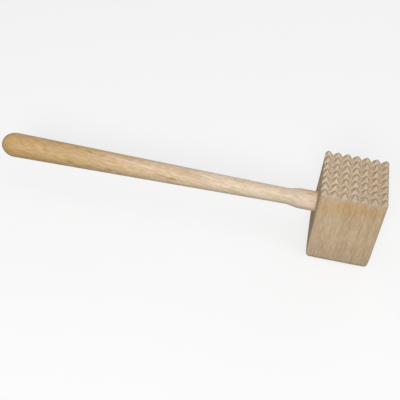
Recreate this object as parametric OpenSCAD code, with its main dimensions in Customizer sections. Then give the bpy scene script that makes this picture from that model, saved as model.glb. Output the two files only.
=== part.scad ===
// Wooden meat mallet: a toothed block head on a turned, wedged handle.
// The origin is the centre of the smooth striking face. X runs along the handle,
// from the grip end (-X) to the far face of the head (+X), and the teeth point up.

/* [Head] */
// Length of the head along the handle
head_l = 60; // [45:1:90]
// Width of the head across the handle
head_w = 60; // [45:1:90]
// Height from the smooth face to the tips of the teeth
head_h = 88; // [80:1:120]
// Radius of the four upright edges
upright_r = 2.5; // [1:0.25:5]
// Radius of the smooth face's edges that lie across the handle
foot_cross_r = 6; // [1:0.25:9]
// Radius of the smooth face's edges that lie along the handle
foot_along_r = 3; // [1:0.25:9]

/* [Teeth] */
// Number of teeth along each side
teeth_n = 7; // [4:1:9]
// Distance from the outer tips to the side faces
tooth_margin = 3; // [1.5:0.25:4]
// Depth of the V-grooves below the tips
groove_depth = 6.8; // [3:0.2:9]
// Width of the flat left on each tip
tip_land = 0.6; // [0.2:0.1:1.5]
// Width of the flat at the bottom of each groove
root_land = 0.4; // [0.2:0.1:1.5]

/* [Handle] */
// Height of the handle's axis above the smooth face
handle_z = 46.5; // [35:0.5:50]
// Length of the handle outside the head
handle_reach = 311; // [200:1:400]
// Diameter at the thick end of the grip
grip_d = 24; // [18:0.2:32]
// Length of the domed end of the grip
dome_l = 14; // [6:0.5:25]
// Diameter at the neck, the slimmest place
neck_d = 15.4; // [10:0.2:16]
// Length of the flare between neck and collar
flare_l = 14; // [8:0.5:30]
// Length of the straight collar outside the head
collar_l = 14.5; // [5:0.5:30]
// Diameter of the collar and of the tenon in the head
collar_d = 19.2; // [16.4:0.2:24]

/* [Wedge] */
// Glue gap on each side of the tenon and of the wedge
glue_gap = 0.1; // [0.05:0.01:0.2]
// Width of the saw kerf in the tenon
kerf_w = 1.6; // [1:0.1:3]
// Depth of the saw kerf from the far face
kerf_depth = 40; // [36:0.5:44]
// Length of the driven wedge
wedge_l = 33; // [20:0.5:35]
// Thickness of the wedge at the far face
wedge_t = 5; // [3.5:0.1:7]

/* [Hidden] */

$fn = 96;
// How far a cutter reaches past the face that it cuts
cut_over = 1;
// Straight steps that stand for the dome's and the flare's curves
dome_steps = 12;
flare_steps = 14;

// Places along the handle's axis
far_x = head_l / 2;
face_x = -head_l / 2;
collar_x = face_x - collar_l;
neck_x = collar_x - flare_l;
end_x = face_x - handle_reach;
grip_x = end_x + dome_l;

// Tip spacing along and across the handle
pitch_l = (head_l - 2 * tooth_margin) / (teeth_n - 1);
pitch_w = (head_w - 2 * tooth_margin) / (teeth_n - 1);

head_color = "#c3a67f";
handle_color = "#dcbd94";
wedge_color = "#9a7045";

// Rectangle with its origin at the middle, all four corners rounded
module rounded_plan(length, width, r) {
    square([length - 2 * r, width], center = true);
    square([length, width - 2 * r], center = true);
    for (sx = [-1, 1], sy = [-1, 1])
        translate([sx * (length / 2 - r), sy * (width / 2 - r)])
            circle(r);
}

// Upright rectangle standing on the origin, its two lower corners rounded
module rounded_foot(width, height, r) {
    translate([-width / 2, r])
        square([width, height - r]);
    translate([-width / 2 + r, 0])
        square([width - 2 * r, height]);
    for (s = [-1, 1])
        translate([s * (width / 2 - r), r])
            circle(r);
}

// The head's outer form, before the teeth and the bore are cut
module head_block() {
    intersection() {
        linear_extrude(head_h)
            rounded_plan(head_l, head_w, upright_r);
        rotate([90, 0, 0])
            linear_extrude(head_w, center = true)
                rounded_foot(head_l, head_h, foot_cross_r);
        rotate([90, 0, 90])
            linear_extrude(head_l, center = true)
                rounded_foot(head_w, head_h, foot_along_r);
    }
}

// A row of V-grooves that run along Y, one on each side of every tip
module groove_row(pitch, run) {
    half = (pitch - tip_land) / 2;
    for (i = [0 : teeth_n])
        translate([(i - teeth_n / 2) * pitch, 0, head_h])
            rotate([90, 0, 0])
                linear_extrude(run + 2 * cut_over, center = true)
                    polygon([
                        [-half, cut_over],
                        [-half, 0],
                        [-root_land / 2, -groove_depth],
                        [root_land / 2, -groove_depth],
                        [half, 0],
                        [half, cut_over]
                    ]);
}

// A solid turned about the handle's axis, from outline points [radius, x]
module turned(outline) {
    translate([0, 0, handle_z])
        rotate([0, 90, 0])
            rotate_extrude()
                polygon(outline);
}

// Tapered slip along the tenon, as wide as the bore: thick at the far face, thin at its inner end
module slip(inner_x, outer_x, inner_t, outer_t) {
    translate([0, 0, handle_z])
        rotate([90, 0, 0])
            linear_extrude(collar_d + 2 * cut_over, center = true)
                polygon([
                    [inner_x, -inner_t / 2],
                    [outer_x, -outer_t / 2],
                    [outer_x, outer_t / 2],
                    [inner_x, inner_t / 2]
                ]);
}

// Half outline of the handle, from the tip of the dome to the end of the tenon
function dome_points() = [
    for (i = [0 : dome_steps])
        let (a = 90 * i / dome_steps)
            [grip_d / 2 * sin(a), grip_x - dome_l * cos(a)]
];
function flare_points() = [
    for (i = [0 : flare_steps])
        let (t = i / flare_steps)
            [neck_d / 2 + (collar_d - neck_d) / 2 * (1 - cos(180 * t)) / 2, neck_x + flare_l * t]
];

// Block with pyramid teeth on top and a bore for the tenon
module head() {
    color(head_color)
        difference() {
            head_block();
            groove_row(pitch_l, head_w);
            rotate([0, 0, 90])
                groove_row(pitch_w, head_l);
            translate([0, 0, handle_z])
                rotate([0, 90, 0])
                    cylinder(d = collar_d + 2 * glue_gap, h = head_l + 2 * cut_over, center = true);
        }
}

// Turned handle with a through tenon, kerfed at its end and opened by the wedge
module handle() {
    taper = (wedge_t - kerf_w) / wedge_l;
    color(handle_color)
        difference() {
            turned(concat(
                dome_points(),
                flare_points(),
                [[collar_d / 2, far_x], [0, far_x]]
            ));
            slip(far_x - kerf_depth, far_x + cut_over, kerf_w + 2 * glue_gap, kerf_w + 2 * glue_gap);
            slip(
                far_x - wedge_l,
                far_x + cut_over,
                kerf_w + 2 * glue_gap,
                wedge_t + 2 * glue_gap + taper * cut_over
            );
        }
}

// Wedge as wide as the tenon, cut flush with the far face
module wedge() {
    color(wedge_color)
        intersection() {
            slip(far_x - wedge_l, far_x, kerf_w, wedge_t);
            turned([
                [0, far_x - wedge_l - cut_over],
                [collar_d / 2, far_x - wedge_l - cut_over],
                [collar_d / 2, far_x + cut_over],
                [0, far_x + cut_over]
            ]);
        }
}

head();
handle();
wedge();
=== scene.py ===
import math

import bpy
from mathutils import Matrix, Vector


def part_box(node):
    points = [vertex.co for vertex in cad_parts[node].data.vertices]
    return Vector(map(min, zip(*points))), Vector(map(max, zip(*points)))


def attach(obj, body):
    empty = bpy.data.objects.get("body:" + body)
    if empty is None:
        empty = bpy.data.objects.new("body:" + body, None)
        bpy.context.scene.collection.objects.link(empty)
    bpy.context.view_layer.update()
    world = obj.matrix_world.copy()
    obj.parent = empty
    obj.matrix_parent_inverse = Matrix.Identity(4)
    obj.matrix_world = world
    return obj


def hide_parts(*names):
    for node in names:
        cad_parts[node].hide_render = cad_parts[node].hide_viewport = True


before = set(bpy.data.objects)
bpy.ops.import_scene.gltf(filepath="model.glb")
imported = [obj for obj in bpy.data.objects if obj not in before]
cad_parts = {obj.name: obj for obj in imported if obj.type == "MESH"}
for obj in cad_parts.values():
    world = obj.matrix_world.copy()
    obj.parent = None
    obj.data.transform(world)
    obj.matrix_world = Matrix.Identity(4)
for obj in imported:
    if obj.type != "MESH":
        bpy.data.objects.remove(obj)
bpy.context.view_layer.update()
print("frame loaded:", ", ".join(sorted(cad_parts)))

mm = 0.001
tiny = 1e-7  # metres, keeps a divisor off zero
sharpAngle = 35  # degrees, a blunter edge is shaded smooth
headLow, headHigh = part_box("head")
handleLow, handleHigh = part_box("handle")
wedgeLow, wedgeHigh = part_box("wedge")
axisHeight = (handleLow.z + handleHigh.z) / 2  # of the handle, above the smooth face
tenonDiameter = 19.2 * mm  # and the collar's
glueGap = 0.1 * mm  # on each side


# A Field is a socket's value, so that formulas in a tree read as plain arithmetic
class Field:
    def __init__(self, tree, socket):
        self.tree = tree
        self.socket = socket

    def calc(self, operation, *others):
        return mathNode(self.tree, operation, self, *others)

    def __add__(self, other):
        return self.calc("ADD", other)

    def __sub__(self, other):
        return self.calc("SUBTRACT", other)

    def __rsub__(self, other):
        return mathNode(self.tree, "SUBTRACT", other, self)

    def __mul__(self, other):
        return self.calc("MULTIPLY", other)

    def __truediv__(self, other):
        return self.calc("DIVIDE", other)

    def __neg__(self):
        return self * -1.0

    def absolute(self):
        return self.calc("ABSOLUTE")

    def largest(self, other):
        return self.calc("MAXIMUM", other)

    def smallest(self, other):
        return self.calc("MINIMUM", other)

    def clamped(self):
        return self.largest(0.0).smallest(1.0)

    def centred(self):
        return self - 0.5  # a noise runs from 0 to 1

    def hypot(self, other):
        return (self * self + other * other).calc("SQRT")

    def ramp(self, start, end, low=0.0, high=1.0, smooth=True):
        node = self.tree.nodes.new("ShaderNodeMapRange")
        node.interpolation_type = "SMOOTHSTEP" if smooth else "LINEAR"
        for socket, value in zip(node.inputs, (self, start, end, low, high)):
            feed(self.tree, socket, value)
        return Field(self.tree, node.outputs[0])


# Helpers for all node trees
def feed(tree, socket, value):
    if isinstance(value, Field):
        tree.links.new(value.socket, socket)
    elif isinstance(value, bpy.types.NodeSocket):
        tree.links.new(value, socket)
    else:
        socket.default_value = value


def mathNode(tree, operation, *values):
    node = tree.nodes.new("ShaderNodeMath")
    node.operation = operation
    for socket, value in zip(node.inputs, values):
        feed(tree, socket, value)
    return Field(tree, node.outputs[0])


def addNode(tree, kind, sockets=None, **settings):
    node = tree.nodes.new(kind)
    for name, value in settings.items():
        setattr(node, name, value)
    for name, value in (sockets or {}).items():
        feed(tree, node.inputs[name], value)
    return node


def joinXyz(tree, x, y, z):
    return addNode(tree, "ShaderNodeCombineXYZ", {"X": x, "Y": y, "Z": z}).outputs[0]


def splitXyz(tree, vector):
    node = addNode(tree, "ShaderNodeSeparateXYZ", {"Vector": vector})
    return [Field(tree, socket) for socket in node.outputs]


def noiseAt(tree, x, y, z, detail=2.0, roughness=0.5):
    vector = joinXyz(tree, x, y, z)
    values = {"Vector": vector, "Scale": 1.0, "Detail": detail, "Roughness": roughness}
    node = addNode(tree, "ShaderNodeTexNoise", values)
    return Field(tree, node.outputs["Fac"])


# Helpers for shapes
def newTree(name, sizes):
    tree = bpy.data.node_groups.new(name, "GeometryNodeTree")
    kinds = {int: "NodeSocketInt", float: "NodeSocketFloat"}
    for label, value in sizes.items():
        kind = kinds.get(type(value), "NodeSocketMaterial")
        tree.interface.new_socket(label, in_out="INPUT", socket_type=kind)
    tree.interface.new_socket("Geometry", in_out="OUTPUT", socket_type="NodeSocketGeometry")
    start = tree.nodes.new("NodeGroupInput")
    return tree, {label: Field(tree, start.outputs[label]) for label in sizes}


def endTree(tree, geometry, wood):
    plain = addNode(tree, "GeometryNodeTriangulate", {"Mesh": geometry},
                    quad_method="BEAUTY", ngon_method="BEAUTY")
    smooth = addNode(tree, "GeometryNodeSetShadeSmooth", {"Geometry": plain.outputs[0]})
    real = addNode(tree, "GeometryNodeRealizeInstances", {"Geometry": smooth.outputs[0]})
    dressed = addNode(tree, "GeometryNodeSetMaterial", {"Geometry": real.outputs[0], "Material": wood})
    end = tree.nodes.new("NodeGroupOutput")
    feed(tree, end.inputs["Geometry"], dressed.outputs[0])


def readVector(tree, kind):
    return splitXyz(tree, tree.nodes.new(kind).outputs[0])


# The float sockets go by number, because the other kinds of this node use the same names
def randomFor(tree, identity, low, high, seed):
    node = addNode(tree, "FunctionNodeRandomValue", {"ID": identity, "Seed": seed}, data_type="FLOAT")
    feed(tree, node.inputs[2], low)
    feed(tree, node.inputs[3], high)
    return Field(tree, node.outputs[1])


def placePoints(tree, geometry, position):
    node = addNode(tree, "GeometryNodeSetPosition", {"Geometry": geometry, "Position": position})
    return node.outputs[0]


def storeField(tree, geometry, name, value):
    values = {"Geometry": geometry, "Name": name, "Value": value}
    return addNode(tree, "GeometryNodeStoreNamedAttribute", values).outputs[0]


def cutAway(tree, body, tool):
    node = addNode(tree, "GeometryNodeMeshBoolean", operation="DIFFERENCE", solver="MANIFOLD")
    feed(tree, node.inputs["Mesh 1"], body)
    feed(tree, node.inputs["Mesh 2"], tool)
    return node.outputs["Mesh"]


# Runs a tree on an empty mesh and keeps the result as a plain mesh
def pieceFromTree(name, tree, sizes):
    piece = bpy.data.objects.new(name, bpy.data.meshes.new(name))
    bpy.context.scene.collection.objects.link(piece)
    modifier = piece.modifiers.new("shape", "NODES")
    modifier.node_group = tree
    for item in tree.interface.items_tree:
        if item.in_out == "INPUT":
            modifier[item.identifier] = sizes[item.name]
    graph = bpy.context.evaluated_depsgraph_get()
    made = piece.evaluated_get(graph)
    mesh = bpy.data.meshes.new_from_object(made, preserve_all_data_layers=True, depsgraph=graph)
    piece.modifiers.remove(modifier)
    piece.data = mesh
    mesh.name = name
    mesh.set_sharp_from_angle(angle=math.radians(sharpAngle))
    return piece


# Camera at the photograph's place
photoCamera = {
    "place": (-0.07715, -0.51388, 0.53786),
    "heading": 7.012,  # degrees, turned towards the grip end
    "tilt": 44.937,  # up from looking straight down
    "roll": 5.825,
    "focalPixels": 741.8,
    "framePixels": 400,
    "sensor": 36.0,
    "clip": (0.01, 50.0),  # metres
}


def placeCamera(setup):
    data = bpy.data.cameras.new("photo camera")
    data.sensor_width = setup["sensor"]
    data.lens = setup["focalPixels"] * setup["sensor"] / setup["framePixels"]
    data.clip_start, data.clip_end = setup["clip"]
    camera = bpy.data.objects.new("photo camera", data)
    turn = Matrix.Rotation(math.radians(setup["heading"]), 4, "Z")
    tilt = Matrix.Rotation(math.radians(setup["tilt"]), 4, "X")
    roll = Matrix.Rotation(math.radians(setup["roll"]), 4, "Z")
    camera.matrix_world = Matrix.Translation(setup["place"]) @ turn @ tilt @ roll
    bpy.context.scene.collection.objects.link(camera)
    bpy.context.scene.camera = camera


placeCamera(photoCamera)
print("camera placed")


# Helpers for materials
def newMaterial(name):
    material = bpy.data.materials.new(name)
    material.use_nodes = True
    tree = material.node_tree
    tree.nodes.clear()
    return material, tree


# The colour sockets go by number, because the other kinds of this node use the same names
def mixColour(tree, factor, first, second, blend="MIX"):
    node = addNode(tree, "ShaderNodeMix", data_type="RGBA", blend_type=blend)
    feed(tree, node.inputs[0], factor)
    for socket, value in ((node.inputs[6], first), (node.inputs[7], second)):
        feed(tree, socket, (*value, 1.0) if isinstance(value, tuple) else value)
    return node.outputs[2]


def tinted(tree, share, colour, tint):
    return mixColour(tree, share, colour, tint, "MULTIPLY")


def attributeField(tree, name):
    node = addNode(tree, "ShaderNodeAttribute", attribute_name=name)
    return Field(tree, node.outputs["Fac"])


# How every wood here is built: spans are in millimetres, counts are for each millimetre
woodBuild = {
    "swaySpans": (22.0, 160.0),  # of the growth rings, across the grain and along it
    "ringSpans": (9.0, 400.0),  # over which rings grow closer or wider, outwards and along the grain
    "ringLine": 0.5,  # any line through the noise
    "ringDrift": 1.6,  # in rings
    "lateWood": (0.35, 0.9),  # of a ring, where it deepens
    "ringEnd": (0.93, 1.0),  # where the next one starts pale again
    "plainTone": 0.42,  # from 0, pale, to 1, deep
    # each layer of tone: counts across the grain and along it, detail, roughness
    "layers": {
        "fine": (1.7, 0.04, 4.0, 0.65),
        "medium": (0.7, 0.035, 3.0, 0.6),
        "patch": (0.6, 0.16, 3.0, 0.6),
        "broad": (0.11, 0.006, 2.0, 0.5),
    },
    # each kind of fleck: counts across the grain and along it, where one fades, the draws that give one
    "flecks": {
        "fleck": (0.95, 0.15, (0.04, 0.24), (0.3, 0.6)),
        "dash": (0.45, 0.11, (0.05, 0.22), (0.5, 0.75)),
    },
    "rayCounts": (1.6, 0.16),  # on cut ends, round the heart and outwards
    "poreCount": 3.2,
    "endTones": {"plain": 0.2, "ring": 0.9, "rays": 1.3, "pores": 1.4},
    "roughRange": (0.3, 0.7),  # of the fine layer
    "roughSpread": 0.06,
    "bumpDepth": 0.12 * mm,
    "mediumHeight": 0.6,  # beside 1 for the fine layer
    "fleckHollow": 0.35,
}


# Short brown dashes, one in some of the cells that fill the wood
def fleckField(tree, x, y, z, reach, draws):
    cells = addNode(tree, "ShaderNodeTexVoronoi", {"Vector": joinXyz(tree, x, y, z), "Scale": 1.0})
    draw = splitXyz(tree, cells.outputs["Color"])[0]
    return Field(tree, cells.outputs["Distance"]).ramp(*reach, 1.0, 0.0) * draw.ramp(*draws)


# Growth rings about a heart line beside the piece, with fibres and flecks along the grain
def woodGrain(tree, look):
    coords = tree.nodes.new("ShaderNodeTexCoord")
    turned = addNode(tree, "ShaderNodeMapping", {"Vector": coords.outputs["Object"]})
    turned.inputs["Rotation"].default_value = [math.radians(a) for a in look["grainTurn"]]
    turned.inputs["Scale"].default_value = (1 / mm, 1 / mm, 1 / mm)
    u, v, w = splitXyz(tree, turned.outputs[0])  # millimetres, w along the grain

    wide, long = woodBuild["swaySpans"]
    sway = noiseAt(tree, u / wide, v / wide, w / long).centred() * look["sway"]
    heartU, heartV = look["heart"]
    outU = u + sway - heartU
    outV = v + sway - heartV
    fromHeart = outU.hypot(outV)
    wide, long = woodBuild["ringSpans"]
    drift = noiseAt(tree, fromHeart / wide, woodBuild["ringLine"], w / long) * woodBuild["ringDrift"]
    inRing = (fromHeart / look["ringWidth"] + drift).calc("FRACT")
    ring = inRing.ramp(*woodBuild["lateWood"]) * inRing.ramp(*woodBuild["ringEnd"], 1.0, 0.0)

    grain = {"u": u, "v": v, "w": w, "outU": outU, "outV": outV, "fromHeart": fromHeart, "ring": ring}
    tone = ring * look["tones"]["ring"] + u * look["acrossTone"] + woodBuild["plainTone"]
    for name, (across, along, detail, roughness) in woodBuild["layers"].items():
        grain[name] = noiseAt(tree, u * across, v * across, w * along, detail, roughness)
        tone = tone + grain[name].centred() * look["tones"][name]
    grain["tone"] = tone.clamped()
    for name, (across, along, reach, draws) in woodBuild["flecks"].items():
        grain[name] = fleckField(tree, u * across, v * across, w * along, reach, draws)
    return grain


def addFlecks(tree, colour, grain, look):
    colour = mixColour(tree, grain["dash"] * look["dashShare"], colour, look["fleckColour"])
    return mixColour(tree, grain["fleck"] * look["fleckShare"], colour, look["fleckColour"])


# Where the fibres are cut across: rings, rays that run out from the heart, and pores
def addEndGrain(tree, colour, grain, pale, deep, shade):
    roundCount, outCount = woodBuild["rayCounts"]
    arc = grain["outV"].calc("ARCTAN2", grain["outU"]) * grain["fromHeart"]
    rays = noiseAt(tree, arc * roundCount, grain["fromHeart"] * outCount, 0.0)
    pores = noiseAt(tree, grain["u"] * woodBuild["poreCount"], grain["v"] * woodBuild["poreCount"], 0.0)
    tones = woodBuild["endTones"]
    tone = grain["ring"] * tones["ring"] + rays.centred() * tones["rays"]
    tone = tone + pores.centred() * tones["pores"] + tones["plain"]
    cutAcross = mixColour(tree, tone.clamped(), pale, deep)
    cutAcross = tinted(tree, 1.0, cutAcross, shade)
    return mixColour(tree, attributeField(tree, "endGrain"), colour, cutAcross)


def finishWood(material, tree, colour, grain, look):
    shader = addNode(tree, "ShaderNodeBsdfPrincipled", {"Base Color": colour})
    spread = woodBuild["roughSpread"]
    roughest, smoothest = look["roughness"] + spread, look["roughness"] - spread
    rough = grain["fine"].ramp(*woodBuild["roughRange"], roughest, smoothest)
    feed(tree, shader.inputs["Roughness"], rough)
    shader.inputs["Specular IOR Level"].default_value = look["gloss"]
    height = grain["fine"] + grain["medium"] * woodBuild["mediumHeight"]
    height = height - grain["fleck"] * woodBuild["fleckHollow"]
    bump = addNode(tree, "ShaderNodeBump", {
        "Strength": look["bump"], "Distance": woodBuild["bumpDepth"], "Height": height})
    feed(tree, shader.inputs["Normal"], bump.outputs[0])
    end = tree.nodes.new("ShaderNodeOutputMaterial")
    feed(tree, end.inputs["Surface"], shader.outputs[0])
    return material


# The head's wood: lengths are in millimetres, heights are above the smooth face
headWood = {
    "grainTurn": (1.2, -0.8, 0.0),  # degrees, the grain runs from face to face
    "heart": (-28.0, 84.0),  # from the head's middle, across the grain
    "ringWidth": 3.1,
    "sway": 7.0,
    "tones": {"ring": 0.22, "fine": 2.9, "medium": 1.2, "patch": 1.8, "broad": 0.2},
    "acrossTone": 0.005,  # for each millimetre: paler at the handle's side, deeper towards the far side
    "pale": (0.744, 0.577, 0.384),
    "deep": (0.562, 0.394, 0.235),
    "fleckColour": (0.36, 0.22, 0.115),
    "fleckShare": 0.55,
    "dashShare": 0.2,
    "bandTint": (0.985, 0.905, 0.75),  # warm band below the teeth
    "bandHeights": (62.8, 66.8, 75.0, 83.0),
    "bandRise": 0.106,  # of its lower limit, for each millimetre towards the far side
    "bandReach": 33.0,  # from the middle, where it has faded out
    "bandFade": 4.0,  # power of that fading
    "ragged": 14.0,  # how far limits run out along the fibres
    "toothTint": (0.88, 0.935, 1.055),
    # painted shade: darker and cooler towards the smooth face
    "footShade": (0.89, 0.91, 0.93),
    "footShadeHeights": (34.0, 3.0),
    "rimDirtAndShade": (0.80, 0.79, 0.78),  # dirt and painted contact shade round the smooth face
    "rimDirtAndShadeHeights": (5.0, 1.8),
    "valleyPaintedLight": (1.24, 1.31, 1.38),  # painted light deep in the grooves that run away from the front, lifting their shade
    "valleyLightDepths": (0.35, 0.95),  # of a groove's depth
    "crossGrooveShade": (0.89, 0.88, 0.87),  # painted shade low in the grooves that run across, behind each tip
    "crossShadeDepths": (0.5, 1.0),
    "edgeColour": (0.72, 0.57, 0.40),
    "edgeFibres": (0.35, 0.65),  # of the fine layer, so that it comes and goes
    "edgeShare": 0.6,
    "endShade": (0.84, 0.80, 0.77),
    "roughness": 0.75,
    "gloss": 0.12,
    "bump": 0.5,
}


def makeHeadWood(look):
    material, tree = newMaterial("head beech")
    grain = woodGrain(tree, look)
    colour = mixColour(tree, grain["tone"], look["pale"], look["deep"])
    colour = addFlecks(tree, colour, grain, look)

    low, full, fading, gone = look["bandHeights"]
    ragged = grain["w"] + grain["medium"].centred() * look["ragged"]
    sloped = ragged - grain["u"] * look["bandRise"]
    inReach = (1.0 - (grain["u"] / look["bandReach"]).calc("POWER", look["bandFade"])).clamped()
    shares = {
        "bandTint": sloped.ramp(low, full) * grain["w"].ramp(fading, gone, 1.0, 0.0) * inReach,
        "toothTint": attributeField(tree, "teeth"),
        # painted shade, darker towards the smooth face
        "footShade": ragged.ramp(*look["footShadeHeights"]),
        # dirt and painted contact shade at the smooth face's rim
        "rimDirtAndShade": grain["w"].ramp(*look["rimDirtAndShadeHeights"]),
        # painted light deep in the grooves that run away from the front
        "valleyPaintedLight": attributeField(tree, "valley").ramp(*look["valleyLightDepths"]),
        # painted shade low in the grooves that run across
        "crossGrooveShade": attributeField(tree, "cross").ramp(*look["crossShadeDepths"]),
    }
    for tint, share in shares.items():
        colour = tinted(tree, share, colour, look[tint])

    edge = attributeField(tree, "edge") * grain["fine"].ramp(*look["edgeFibres"])
    colour = mixColour(tree, edge * look["edgeShare"], colour, look["edgeColour"])
    colour = addEndGrain(tree, colour, grain, look["pale"], look["deep"], look["endShade"])
    return finishWood(material, tree, colour, grain, look)


# The handle's wood, honey at the grip and cream towards the head: lengths are in millimetres
handleWood = {
    "grainTurn": (45.0, 83.0, 0.0),  # degrees, the grain runs along the handle and drifts a little off it
    "heart": (118.0, 14.0),
    "ringWidth": 2.9,
    "sway": 6.0,
    "tones": {"ring": 0.30, "fine": 2.6, "medium": 1.4, "patch": 3.0, "broad": 1.2},
    "acrossTone": 0.0,
    "pale": (0.674, 0.464, 0.228),
    "deep": (0.518, 0.329, 0.143),
    "creamPale": (0.842, 0.699, 0.537),
    "creamDeep": (0.688, 0.52, 0.366),
    "creamFrom": (-305.0, -115.0),  # along the handle
    "creamDrift": 110.0,
    "zoneSpans": (4.0, 40.0),  # of rosy and straw-coloured zones, across the grain and along it
    "zoneDetail": 4.0,
    "zoneRoughness": 0.6,
    "rosyTint": (1.0, 0.94, 0.93),
    "rosyRange": (0.5, 0.66),
    "strawTint": (0.97, 0.97, 0.84),
    "strawRange": (0.5, 0.34),
    "endShade": (0.96, 0.93, 0.90),
    "fleckColour": (0.33, 0.17, 0.07),
    "fleckShare": 0.62,
    "dashShare": 0.5,
    "degreeLength": 0.19,  # round the handle, for each degree
    "markDrift": 0.11,  # how far a mark runs round the handle for each millimetre along it
    "markWaver": 3.0,
    "markCore": 0.1,  # share of a mark that doesn't fade
    "markColours": {
        "brown": (0.36, 0.185, 0.065),
        "orange": (0.62, 0.36, 0.13),
        "rose": (0.93, 0.78, 0.66),
        "straw": (0.70, 0.50, 0.24),
        "tan": (0.58, 0.40, 0.23),
    },
    # each mark: place along the axis, degrees from the top towards the front, length, width, strength
    "marks": {
        "orange": (
            (-325.0, 72.0, 14.0, 4.5, 0.6),
            (-329.0, 22.0, 12.0, 4.5, 0.4),
        ),
        "straw": (
            (-207.0, 62.0, 30.0, 3.4, 0.4),
            (-112.0, 78.0, 16.0, 2.0, 0.4),
            (-290.0, 82.0, 22.0, 4.0, 0.5),
        ),
        "tan": (
            (-156.0, 26.0, 24.0, 7.0, 0.5),
            (-139.0, 50.0, 17.0, 4.0, 0.4),
            (-286.0, 28.0, 13.0, 4.0, 0.4),
            (-153.0, 58.0, 10.0, 3.0, 0.35),
        ),
        "rose": (
            (-208.0, 24.0, 44.0, 2.2, 0.45),
            (-38.0, 78.0, 15.0, 5.5, 0.55),
            (-78.0, 90.0, 34.0, 4.5, 0.4),
        ),
        "brown": (
            (-251.0, 9.0, 4.0, 1.3, 0.65),
            (-268.0, 84.0, 6.0, 1.8, 0.7),
            (-250.0, 88.0, 5.0, 1.7, 0.75),
            (-229.5, 90.0, 5.0, 1.6, 0.8),
            (-216.0, -4.0, 2.5, 1.4, 0.65),
            (-167.5, 74.0, 8.0, 2.2, 0.75),
            (-177.0, 68.0, 15.0, 2.6, 0.45),
            (-109.0, -6.0, 2.5, 1.4, 0.5),
            (-36.5, 9.0, 5.0, 1.2, 0.6),
        ),
    },
    "roughness": 0.6,
    "gloss": 0.25,
    "bump": 0.35,
}


# Each mark is an oval that fades outwards, and the marks of one colour share a mask
def addMarks(tree, colour, along, angle, grain, look):
    waver = grain["medium"].centred() * look["markWaver"]
    for kind, marks in look["marks"].items():
        wholeMask = None
        for place, turn, length, width, strength in marks:
            lengthways = along - place
            sideways = (angle - turn) * look["degreeLength"] - lengthways * look["markDrift"] + waver
            fromMiddle = (lengthways / length).hypot(sideways / width)
            mask = fromMiddle.ramp(look["markCore"], 1.0, strength, 0.0)
            wholeMask = mask if wholeMask is None else wholeMask.largest(mask)
        colour = mixColour(tree, wholeMask, colour, look["markColours"][kind])
    return colour


def makeHandleWood(look):
    material, tree = newMaterial("handle beech")
    grain = woodGrain(tree, look)
    coords = tree.nodes.new("ShaderNodeTexCoord")
    along, y, z = [part / mm for part in splitXyz(tree, coords.outputs["Object"])]
    cream = (along + grain["broad"].centred() * look["creamDrift"]).ramp(*look["creamFrom"])
    pale = mixColour(tree, cream, look["pale"], look["creamPale"])
    deep = mixColour(tree, cream, look["deep"], look["creamDeep"])
    colour = mixColour(tree, grain["tone"], pale, deep)

    wide, long = look["zoneSpans"]
    zone = noiseAt(tree, grain["u"] / wide, grain["v"] / wide, grain["w"] / long,
                   look["zoneDetail"], look["zoneRoughness"])
    colour = tinted(tree, zone.ramp(*look["rosyRange"]), colour, look["rosyTint"])
    colour = tinted(tree, zone.ramp(*look["strawRange"]), colour, look["strawTint"])
    colour = addFlecks(tree, colour, grain, look)
    angle = (-y).calc("ARCTAN2", z - axisHeight / mm) * (180.0 / math.pi)
    colour = addMarks(tree, colour, along, angle, grain, look)
    colour = addEndGrain(tree, colour, grain, pale, deep, look["endShade"])
    return finishWood(material, tree, colour, grain, look)


# The wedge's darker wood
wedgeWood = {
    "grainTurn": (0.0, 90.0, 0.0),
    "heart": (-46.5, 40.0),
    "ringWidth": 1.7,
    "sway": 3.0,
    "tones": {"ring": 0.35, "fine": 1.2, "medium": 1.0, "patch": 0.5, "broad": 0.6},
    "acrossTone": 0.0,
    "pale": (0.47, 0.28, 0.14),
    "deep": (0.30, 0.16, 0.07),
    "fleckColour": (0.15, 0.07, 0.03),
    "fleckShare": 0.7,
    "dashShare": 0.3,
    "roughness": 0.6,
    "gloss": 0.3,
    "bump": 0.5,
}


def makeWedgeWood(look):
    material, tree = newMaterial("wedge hardwood")
    grain = woodGrain(tree, look)
    colour = mixColour(tree, grain["tone"], look["pale"], look["deep"])
    colour = addFlecks(tree, colour, grain, look)
    return finishWood(material, tree, colour, grain, look)


# The head: a fine block whose top is drawn down into grooves and whose edges are rounded, as the solid's are
headShape = {
    "Length": headHigh.x - headLow.x,
    "Width": headHigh.y - headLow.y,
    "Height": headHigh.z - headLow.z,
    "Cell": 0.5 * mm,
    "Upright Radius": 2.5 * mm,
    "Foot Radius Across": 6.0 * mm,
    "Foot Radius Along": 3.0 * mm,
    "Corner Blend": 9.0 * mm,
    "Blend Steps": 8,
    "Tooth Count": 7,
    "Tip Margin": 3.0 * mm,
    "Groove Depth": 6.8 * mm,
    "Tip Land": 0.6 * mm,
    "Root Land": 0.4 * mm,
    "Ridge Blend": 0.1 * mm,
    "Tip Wear": 0.3 * mm,
    "Tip Blend": 0.15 * mm,
    "Groove Fade": 24.0 * mm,
    "Bore Diameter": tenonDiameter + 2 * glueGap,
    "Bore Height": axisHeight,
    "Seed": 5,
    "Wood": makeHeadWood(headWood),
}


def fineBlock(tree, size):
    steps = [(size[side] / size["Cell"]).calc("ROUND") + 1.0 for side in ("Length", "Width")]
    layers = (size["Height"] / size["Cell"] / 2.0).calc("ROUND") + 1.0  # cells are twice as tall as wide
    block = addNode(tree, "GeometryNodeMeshCube", {
        "Size": joinXyz(tree, size["Length"], size["Width"], size["Height"]),
        "Vertices X": steps[0], "Vertices Y": steps[1], "Vertices Z": layers})
    return block.outputs["Mesh"]


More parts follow.
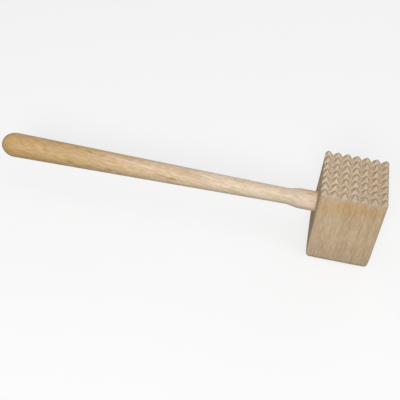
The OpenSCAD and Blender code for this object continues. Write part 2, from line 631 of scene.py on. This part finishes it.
# Rounds the edge between two faces: first and second are distances outwards.
# What stands out past the rounding is pulled back to it, or with drawInside the whole corner is drawn in.
# The last value returned rises from 0 beside the edge to 1 on it.
def roundEdge(first, firstFace, second, secondFace, radius, drawInside=False):
    firstOver = (first - firstFace + radius).largest(0.0)
    secondOver = (second - secondFace + radius).largest(0.0)
    reach = firstOver.hypot(secondOver).largest(tiny)
    goal = firstOver.largest(secondOver) if drawInside else reach.smallest(radius)
    cut = 1.0 - goal / reach
    return first - firstOver * cut, second - secondOver * cut, firstOver.smallest(secondOver) / radius


# V-grooves both ways leave a pyramid around every tip: gives both depths and a number for each tooth
def cutGrooves(size, places):
    drops = []
    rows = []
    for place, half in places:
        firstTip = half - size["Tip Margin"]
        pitch = firstTip * 2.0 / (size["Tooth Count"] - 1.0)
        fromTip = (place + firstTip).calc("PINGPONG", pitch / 2.0)
        slope = (pitch - size["Tip Land"] - size["Root Land"]) / 2.0
        drops.append(((fromTip - size["Tip Land"] / 2.0) / slope).clamped() * size["Groove Depth"])
        rows.append(((place + firstTip) / pitch).calc("ROUND"))
    rowStep = 32.0  # more than the teeth in a row
    return drops, rows[0] * rowStep + rows[1]


# The three roundings that meet at a lower corner are sanded into one
def sandCorners(tree, size, geometry):
    position = tree.nodes.new("GeometryNodeInputPosition").outputs[0]
    x, y, z = splitXyz(tree, position)
    blend = size["Corner Blend"]
    nearCorner = (blend - z).ramp(0.0, blend / 2.0)
    for place, side in ((x, "Length"), (y, "Width")):
        nearCorner = nearCorner * (place.absolute() - size[side] / 2.0 + blend).ramp(0.0, blend / 2.0)
    sanded = addNode(tree, "GeometryNodeBlurAttribute", {
        "Iterations": size["Blend Steps"], "Weight": nearCorner}, data_type="FLOAT_VECTOR")
    feed(tree, sanded.inputs["Value"], position)
    insideScale = 0.99999  # rounding errors must not leave the solid's box
    inside = addNode(tree, "ShaderNodeVectorMath", {"Vector": sanded.outputs["Value"]}, operation="SCALE")
    inside.inputs["Scale"].default_value = insideScale
    return placePoints(tree, geometry, inside.outputs[0])


def boreThrough(tree, size, geometry):
    drillSides = 128
    drillReach = 1.2  # of the head's length
    drill = addNode(tree, "GeometryNodeMeshCylinder", {
        "Vertices": drillSides, "Radius": size["Bore Diameter"] / 2.0, "Depth": size["Length"] * drillReach})
    spun = addNode(tree, "GeometryNodeTransform", {  # by half a side, so that its corners miss the block's
        "Geometry": drill.outputs["Mesh"], "Rotation": (0.0, 0.0, math.pi / drillSides)})
    laid = addNode(tree, "GeometryNodeTransform", {
        "Geometry": spun.outputs[0], "Translation": joinXyz(tree, 0.0, 0.0, size["Bore Height"]),
        "Rotation": (0.0, math.pi / 2, 0.0)})
    faceted = addNode(tree, "GeometryNodeTriangulate", {"Mesh": geometry}, quad_method="LONGEST_DIAGONAL")
    return cutAway(tree, faceted.outputs[0], laid.outputs[0])


def headTree(sizes):
    tree, size = newTree("toothed head", sizes)
    halfLength = size["Length"] / 2.0
    halfWidth = size["Width"] / 2.0
    x, y, z = readVector(tree, "GeometryNodeInputPosition")
    up = z + size["Height"] / 2.0  # the block is made about its own middle

    # distances outwards: along the handle, across it and down
    out, side, low = x.absolute(), y.absolute(), -up
    out, side, uprightEdge = roundEdge(out, halfLength, side, halfWidth, size["Upright Radius"], True)
    out, low, acrossEdge = roundEdge(out, halfLength, low, 0.0, size["Foot Radius Across"])
    side, low, alongEdge = roundEdge(side, halfWidth, low, 0.0, size["Foot Radius Along"])
    newX = x.calc("SIGN") * out
    newY = y.calc("SIGN") * side

    drops, tooth = cutGrooves(size, ((newX, halfLength), (newY, halfWidth)))
    wear = randomFor(tree, tooth, 0.0, size["Tip Wear"], size["Seed"])
    drop = drops[0].calc("SMOOTH_MAX", drops[1], size["Ridge Blend"])
    drop = drop.calc("SMOOTH_MAX", wear, size["Tip Blend"])
    fade = ((up - size["Height"]) / size["Groove Fade"] + 1.0).clamped()  # lower cells give way less
    newZ = -(low + drop * fade)

    # what the wood needs to know of each point
    toothedEnd = (0.97, 1.0)  # of the fade
    onTop = fade.ramp(*toothedEnd)
    valley, cross = [way / size["Groove Depth"] * onTop for way in drops]
    edge = uprightEdge.largest(acrossEdge).largest(alongEdge)
    block = fineBlock(tree, size)
    for name, value in (("valley", valley), ("cross", cross), ("teeth", onTop), ("edge", edge)):
        block = storeField(tree, block, name, value)

    shaped = placePoints(tree, block, joinXyz(tree, newX, newY, newZ))
    bored = boreThrough(tree, size, sandCorners(tree, size, shaped))
    smoothFace = (0.75, 0.98)  # how much a point there faces down
    facingDown = -readVector(tree, "GeometryNodeInputNormal")[2]
    marked = storeField(tree, bored, "endGrain", facingDown.ramp(*smoothFace))
    endTree(tree, marked, size["Wood"])
    return tree


head = pieceFromTree("mallet_head", headTree(headShape), headShape)
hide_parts("head")
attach(head, "root")
print("head made:", len(head.data.polygons), "faces")


# The handle: rings along the axis, with a domed end, a long taper, a flare and the tenon
handleShape = {
    "End X": handleLow.x,
    "Far X": handleHigh.x,
    "Axis Height": axisHeight,
    "Grip Diameter": handleHigh.z - handleLow.z,
    "Neck Diameter": 15.4 * mm,
    "Collar Diameter": tenonDiameter,
    "Dome Length": 14.0 * mm,
    "Flare Length": 14.0 * mm,
    "Collar Length": 14.5 * mm,
    "Face X": headLow.x,
    "Unevenness": 0.12 * mm,
    "Dome Rings": 16,
    "Body Rings": 240,
    "Ring Points": 96,
    "Slot Depth": 40.0 * mm,
    "Slot Width": 1.8 * mm,
    "Slot Mouth": wedgeHigh.z - wedgeLow.z + 2 * glueGap,
    "Wedge Start": wedgeLow.x,
    "Wood": makeHandleWood(handleWood),
}


# Points along the axis, closer together towards the tip of the dome
def handleAxis(tree, size, gripX):
    count = size["Dome Rings"] + size["Body Rings"] + 1.0
    line = addNode(tree, "GeometryNodeMeshLine", {"Count": count})
    index = Field(tree, tree.nodes.new("GeometryNodeInputIndex").outputs[0])
    quarter = (index / size["Dome Rings"]).clamped() * (math.pi / 2)
    domeX = size["Dome Length"] * (1.0 - quarter.calc("COSINE"))
    bodyX = (index - size["Dome Rings"]).largest(0.0) / size["Body Rings"] * (size["Far X"] - gripX)
    place = joinXyz(tree, size["End X"] + domeX + bodyX, 0.0, size["Axis Height"])
    spaced = placePoints(tree, line.outputs[0], place)
    return addNode(tree, "GeometryNodeMeshToCurve", {"Mesh": spaced}).outputs[0]


# Slot for the wedge: a parallel saw cut, which the wedge opens towards the far face
def wedgeSlot(tree, size):
    sawReach = 1.5  # of the tenon's diameter
    over = 1.0 * mm  # past the far face
    # a box from -1 to 1, with stations at the slot's end, the wedge's start and past the far face
    saw = addNode(tree, "GeometryNodeMeshCube", {
        "Size": joinXyz(tree, 2.0, size["Collar Diameter"] * sawReach, 2.0),
        "Vertices X": 3, "Vertices Y": 2, "Vertices Z": 2})
    station, across, half = readVector(tree, "GeometryNodeInputPosition")
    inner = station.smallest(0.0) * (size["Wedge Start"] - size["Far X"] + size["Slot Depth"])
    outer = station.largest(0.0) * (size["Far X"] - size["Wedge Start"] + over)
    x = size["Wedge Start"] + inner + outer
    opening = (x - size["Wedge Start"]).largest(0.0) / (size["Far X"] - size["Wedge Start"])
    width = size["Slot Width"] + opening * (size["Slot Mouth"] - size["Slot Width"])
    place = joinXyz(tree, x, across, size["Axis Height"] + half * width / 2.0)
    return placePoints(tree, saw.outputs["Mesh"], place)


def handleTree(sizes):
    tree, size = newTree("turned handle", sizes)
    gripX = size["End X"] + size["Dome Length"]
    collarX = size["Face X"] - size["Collar Length"]
    neckX = collarX - size["Flare Length"]
    axis = handleAxis(tree, size, gripX)

    x = readVector(tree, "GeometryNodeInputPosition")[0]
    taper = x.ramp(gripX, neckX, size["Grip Diameter"], size["Neck Diameter"], smooth=False)
    flare = x.ramp(neckX, collarX) * (size["Collar Diameter"] - size["Neck Diameter"])
    inDome = 1.0 - ((x - size["End X"]) / size["Dome Length"]).clamped()
    dome = (1.0 - inDome * inDome).largest(0.0).calc("SQRT")
    hollowSpan = 18.0  # millimetres
    hollowLine = (3.0, 7.0)  # any line through the noise
    hollow = noiseAt(tree, x / mm / hollowSpan, *hollowLine) * size["Unevenness"] * x.ramp(collarX, neckX)
    radius = ((taper + flare) / 2.0 - hollow) * dome
    profile = addNode(tree, "GeometryNodeCurvePrimitiveCircle", {
        "Resolution": size["Ring Points"], "Radius": 1.0})
    turned = addNode(tree, "GeometryNodeCurveToMesh", {
        "Curve": axis, "Profile Curve": profile.outputs["Curve"], "Scale": radius, "Fill Caps": True})
    weld = 0.002 * mm  # closes the tip
    closed = addNode(tree, "GeometryNodeMergeByDistance", {"Geometry": turned.outputs[0], "Distance": weld})
    slotted = cutAway(tree, closed.outputs[0], wedgeSlot(tree, size))

    # the fibres are cut across at the grip's tip, in part, and at the tenon's end
    tipFace = (0.7, 1.0)  # how much a point there faces along the axis
    tipShare = 0.6
    endDepth = (-0.02 * mm, -0.01 * mm)  # below the tenon's end
    facingOut = -readVector(tree, "GeometryNodeInputNormal")[0]
    cutEnd = (x - size["Far X"]).ramp(*endDepth)
    endGrain = (facingOut.ramp(*tipFace) * tipShare).largest(cutEnd)
    endTree(tree, storeField(tree, slotted, "endGrain", endGrain), size["Wood"])
    return tree


handle = pieceFromTree("mallet_handle", handleTree(handleShape), handleShape)
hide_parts("handle")
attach(handle, "root")
print("handle made:", len(handle.data.polygons), "faces")

# The wedge's solid is right as it is: it only gets its wood
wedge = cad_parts["wedge"]
wedge.data.materials.clear()
wedge.data.materials.append(makeWedgeWood(wedgeWood))
print("wedge dressed")


# Pale floor and soft studio light
studio = {
    "floorSize": 6.0,
    "floorDrop": 0.4 * mm,
    "floorColour": (0.08, 0.08, 0.08),  # as the object sees it
    "floorView": (1.0, 1.0, 1.0),  # as the camera sees it
    "paleView": 0.98,
    "shadowShare": 0.3,
    "shadowReach": (0.5, 1.6),  # metres from the part over which the lit floor gives way to the pale one
    "ambient": 0.325,
    "ambientColour": (1.0, 1.0, 1.0, 1.0),
    "lampDistance": 1.6,
    # each lamp: direction from the part, strength, size
    "lamps": {
        "key": ((-0.10, -0.80, 0.60), 0.62, 0.6),
        "fill": ((0.75, -0.35, 0.56), 0.11, 0.8),
        "top": ((0.0, 0.0, 1.0), 0.08, 1.2),
        "back": ((0.3, 0.93, 0.2), 0.25, 1.2),
    },
}


def seenByEye(tree):
    path = tree.nodes.new("ShaderNodeLightPath")
    rays = [Field(tree, path.outputs[n]) for n in ("Is Camera Ray", "Is Glossy Ray", "Is Transmission Ray")]
    return rays[0].largest(rays[1]).largest(rays[2])


# The floor glows evenly to the eye, and a share of its lit paint keeps the shadow near the part
def makeFloor(setup):
    bpy.ops.mesh.primitive_plane_add(size=setup["floorSize"], location=(0, 0, -setup["floorDrop"]))
    floor = bpy.context.object
    floor.name = "floor"
    material, tree = newMaterial("pale floor")
    eye = seenByEye(tree)
    paint = mixColour(tree, eye, setup["floorColour"], setup["floorView"])
    lit = addNode(tree, "ShaderNodeBsdfDiffuse", {"Color": paint})
    glow = addNode(tree, "ShaderNodeEmission", {"Strength": setup["paleView"]})
    coords = tree.nodes.new("ShaderNodeTexCoord")
    far = addNode(tree, "ShaderNodeVectorMath", {"Vector": coords.outputs["Object"]}, operation="LENGTH")
    near = Field(tree, far.outputs["Value"]).ramp(*setup["shadowReach"], setup["shadowShare"], 0.0)
    mixed = addNode(tree, "ShaderNodeMixShader", {"Fac": eye * (1.0 - near)})
    feed(tree, mixed.inputs[1], lit.outputs[0])
    feed(tree, mixed.inputs[2], glow.outputs[0])
    end = tree.nodes.new("ShaderNodeOutputMaterial")
    feed(tree, end.inputs["Surface"], mixed.outputs[0])
    floor.data.materials.append(material)


def makeSky(setup):
    world = bpy.data.worlds.new("studio")
    bpy.context.scene.world = world
    world.use_nodes = True
    tree = world.node_tree
    tree.nodes.clear()
    level = seenByEye(tree).ramp(0.0, 1.0, setup["ambient"], setup["paleView"], smooth=False)
    sky = addNode(tree, "ShaderNodeBackground", {"Color": setup["ambientColour"], "Strength": level})
    end = tree.nodes.new("ShaderNodeOutputWorld")
    feed(tree, end.inputs["Surface"], sky.outputs[0])


def hangLamps(setup):
    distance = setup["lampDistance"]
    for name, (direction, strength, size) in setup["lamps"].items():
        light = bpy.data.lights.new(name, "AREA")
        light.size = size
        light.energy = strength * math.pi ** 2 * distance ** 2  # at 1 a facing surface shows its own colour
        lamp = bpy.data.objects.new(name, light)
        towards = Vector(direction).normalized()
        lamp.location = towards * distance
        lamp.rotation_euler = towards.to_track_quat("Z", "Y").to_euler()
        bpy.context.scene.collection.objects.link(lamp)


makeFloor(studio)
makeSky(studio)
hangLamps(studio)
bpy.context.scene.view_settings.view_transform = "Standard"
print("studio lit")
